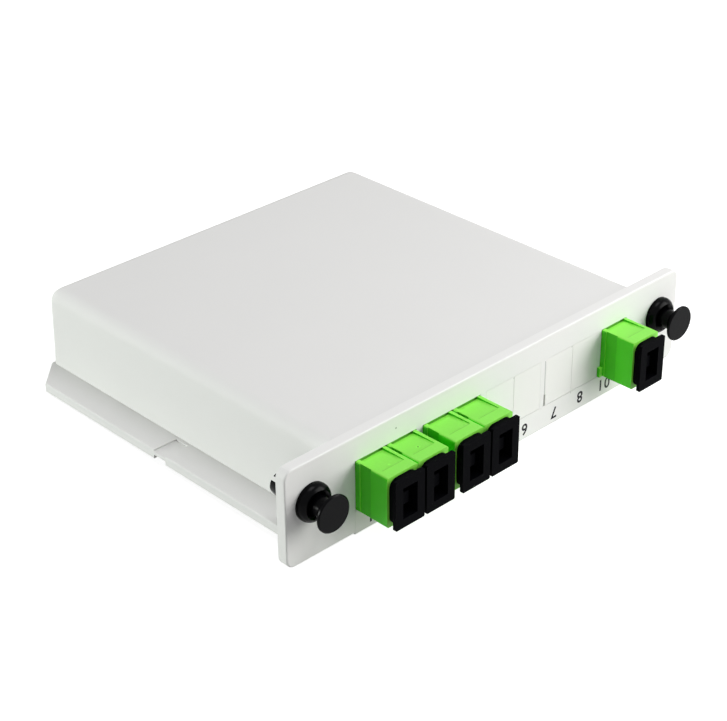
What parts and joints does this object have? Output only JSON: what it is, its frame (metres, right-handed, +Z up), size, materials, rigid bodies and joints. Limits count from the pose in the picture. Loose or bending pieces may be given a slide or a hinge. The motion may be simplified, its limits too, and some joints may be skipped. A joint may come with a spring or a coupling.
{
  "type": "plc fibre splitter",
  "caption": "Plug-in fibre splitter card: flat grey housing, wide front panel with green adapters under black dust caps, blanks and push rivets.",
  "frame": {"origin": "middle of the card's footprint, at the level it stands on", "axes": "+Y from the front panel towards the back of the card, +Z up, +X along the panel towards the input port"},
  "size_m": [0.13, 0.1144, 0.025],
  "materials": {
    "shell_plastic": "satin",
    "blank_plastic": "satin",
    "adapter_green": "satin",
    "holder_plastic": "satin",
    "plug_green": "satin",
    "boot_rubber": "matte",
    "ceramic": "polished",
    "fibre_jacket": "satin",
    "cap_black": "matte",
    "rivet_black": "gloss",
    "tube_steel": "brushed",
    "screw_steel": "satin",
    "chip_glass": "polished"
  },
  "bodies": {
    "card": {"housing": "shell_plastic", "base_cover": "shell_plastic", "cover_screws": "screw_steel", "port_1_adapter": "adapter_green", "port_1_sleeve_holder": "holder_plastic", "port_1_split_sleeve": "ceramic", "port_1_ferrule": "ceramic", "port_1_plug": "plug_green", "port_1_boot": "boot_rubber", "port_1_fibre": "fibre_jacket", "port_2_adapter": "adapter_green", "port_2_sleeve_holder": "holder_plastic", "port_2_split_sleeve": "ceramic", "port_2_ferrule": "ceramic", "port_2_plug": "plug_green", "port_2_boot": "boot_rubber", "port_2_fibre": "fibre_jacket", "port_3_adapter": "adapter_green", "port_3_sleeve_holder": "holder_plastic", "port_3_split_sleeve": "ceramic", "port_3_ferrule": "ceramic", "port_3_plug": "plug_green", "port_3_boot": "boot_rubber", "port_3_fibre": "fibre_jacket", "port_4_adapter": "adapter_green", "port_4_sleeve_holder": "holder_plastic", "port_4_split_sleeve": "ceramic", "port_4_ferrule": "ceramic", "port_4_plug": "plug_green", "port_4_boot": "boot_rubber", "port_4_fibre": "fibre_jacket", "port_in_adapter": "adapter_green", "port_in_sleeve_holder": "holder_plastic", "port_in_split_sleeve": "ceramic", "port_in_ferrule": "ceramic", "port_in_plug": "plug_green", "port_in_boot": "boot_rubber", "port_in_fibre": "fibre_jacket", "blank_5": "blank_plastic", "blank_6": "blank_plastic", "blank_7": "blank_plastic", "blank_8": "blank_plastic", "rivet_sleeve_left": "rivet_black", "rivet_sleeve_right": "rivet_black", "splitter_tube": "tube_steel", "splitter_end_cap_out": "boot_rubber", "splitter_end_cap_in": "boot_rubber", "splitter_chip": "chip_glass"},
    "cap_1": {"port_1_dust_cap": "cap_black"},
    "cap_2": {"port_2_dust_cap": "cap_black"},
    "cap_3": {"port_3_dust_cap": "cap_black"},
    "cap_4": {"port_4_dust_cap": "cap_black"},
    "cap_in": {"port_in_dust_cap": "cap_black"},
    "plunger_left": {"rivet_plunger_left": "rivet_black"},
    "plunger_right": {"rivet_plunger_right": "rivet_black"}
  },
  "joints": [
    {"name": "cap_1_pull", "type": "slide", "parent": "card", "child": "cap_1", "axis": [0, -1, 0], "range_m": [0, 0.02]},
    {"name": "cap_2_pull", "type": "slide", "parent": "card", "child": "cap_2", "axis": [0, -1, 0], "range_m": [0, 0.02]},
    {"name": "cap_3_pull", "type": "slide", "parent": "card", "child": "cap_3", "axis": [0, -1, 0], "range_m": [0, 0.02]},
    {"name": "cap_4_pull", "type": "slide", "parent": "card", "child": "cap_4", "axis": [0, -1, 0], "range_m": [0, 0.02]},
    {"name": "cap_in_pull", "type": "slide", "parent": "card", "child": "cap_in", "axis": [0, -1, 0], "range_m": [0, 0.02]},
    {"name": "plunger_left_push", "type": "slide", "parent": "card", "child": "plunger_left", "axis": [0, 1, 0], "range_m": [0, 0.0033]},
    {"name": "plunger_right_push", "type": "slide", "parent": "card", "child": "plunger_right", "axis": [0, 1, 0], "range_m": [0, 0.0033]}
  ]
}
